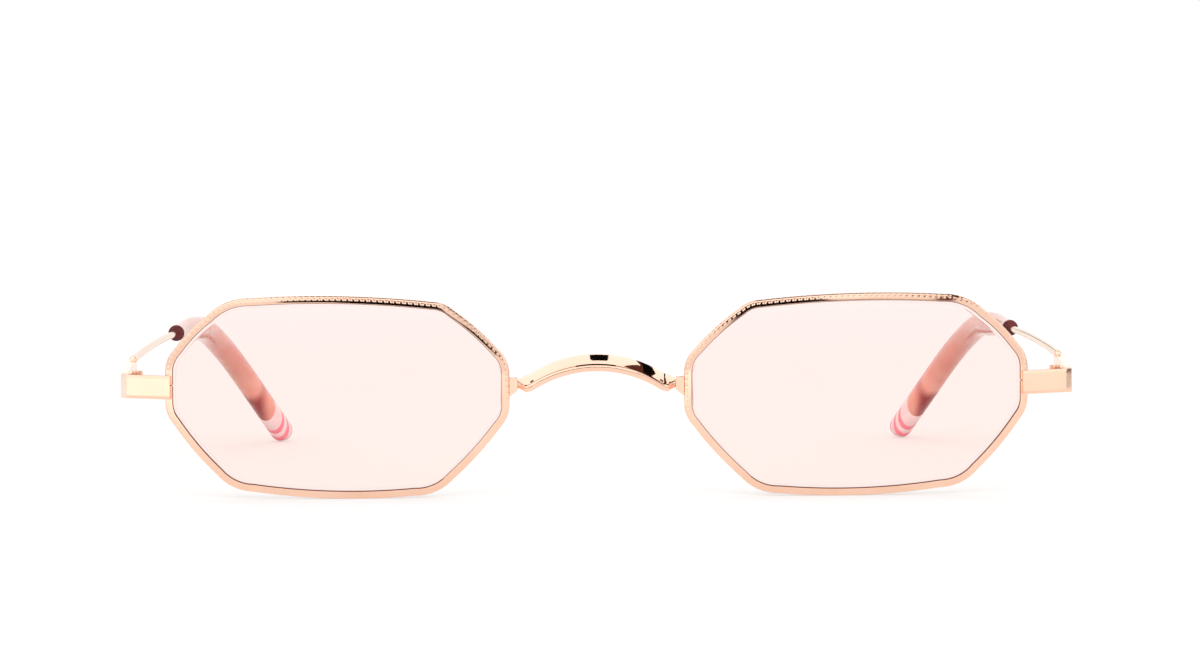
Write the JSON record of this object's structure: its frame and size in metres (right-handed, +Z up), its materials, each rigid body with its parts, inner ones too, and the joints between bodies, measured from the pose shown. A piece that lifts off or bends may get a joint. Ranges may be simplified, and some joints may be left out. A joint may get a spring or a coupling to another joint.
{
  "type": "metal sunglasses",
  "caption": "Octagonal wire-rimmed sunglasses with tinted lenses, a saddle bridge and folding wire temples with striped tips.",
  "frame": {"origin": "on the table that the rims and the temple tips rest on, midway between left and right and between front and back", "axes": "+Z up, +X towards the wearer's left, +Y from the lenses back along the temples, so the front faces -Y"},
  "size_m": [0.134, 0.1408, 0.0284],
  "materials": {
    "frame_metal": "polished rose gold plating on nickel silver",
    "rim_metal": "polished rose gold plating, milled along the outer front edge",
    "temple_metal": "polished rose gold plating on nickel silver wire",
    "screw_metal": "turned and plated screw",
    "lens": "pale pink tinted lens with a thin coating",
    "tip_acetate": "translucent pink acetate, tumbled to a gloss",
    "pink_acetate": "pink layers of laminated acetate, glossy",
    "pale_acetate": "pale layers of laminated acetate, glossy"
  },
  "bodies": {
    "front": {"bridge": "frame_metal", "left_bridge_lug": "frame_metal", "left_rim": "rim_metal", "left_lens": "lens", "left_end_piece": "frame_metal", "left_upper_closing_block": "frame_metal", "left_lower_closing_block": "frame_metal", "left_closing_screw": "screw_metal", "left_front_hinge": "frame_metal", "left_hinge_screw": "screw_metal", "right_bridge_lug": "frame_metal", "right_rim": "rim_metal", "right_lens": "lens", "right_end_piece": "frame_metal", "right_upper_closing_block": "frame_metal", "right_lower_closing_block": "frame_metal", "right_closing_screw": "screw_metal", "right_front_hinge": "frame_metal", "right_hinge_screw": "screw_metal"},
    "left_temple": {"left_temple": "temple_metal", "left_temple_hinge": "frame_metal", "left_temple_tip": "tip_acetate", "left_tip_pink_layers": "pink_acetate", "left_tip_pale_layers": "pale_acetate"},
    "right_temple": {"right_temple": "temple_metal", "right_temple_hinge": "frame_metal", "right_temple_tip": "tip_acetate", "right_tip_pink_layers": "pink_acetate", "right_tip_pale_layers": "pale_acetate"}
  },
  "joints": [
    {"name": "left_temple_fold", "type": "hinge", "parent": "front", "child": "left_temple", "pos_m": [0.06475, -0.06541, 0.016], "axis": [0, 0, 1], "range_deg": [0, 85]},
    {"name": "right_temple_fold", "type": "hinge", "parent": "front", "child": "right_temple", "pos_m": [-0.06475, -0.06541, 0.016], "axis": [0, 0, 1], "range_deg": [-73, 0]}
  ]
}
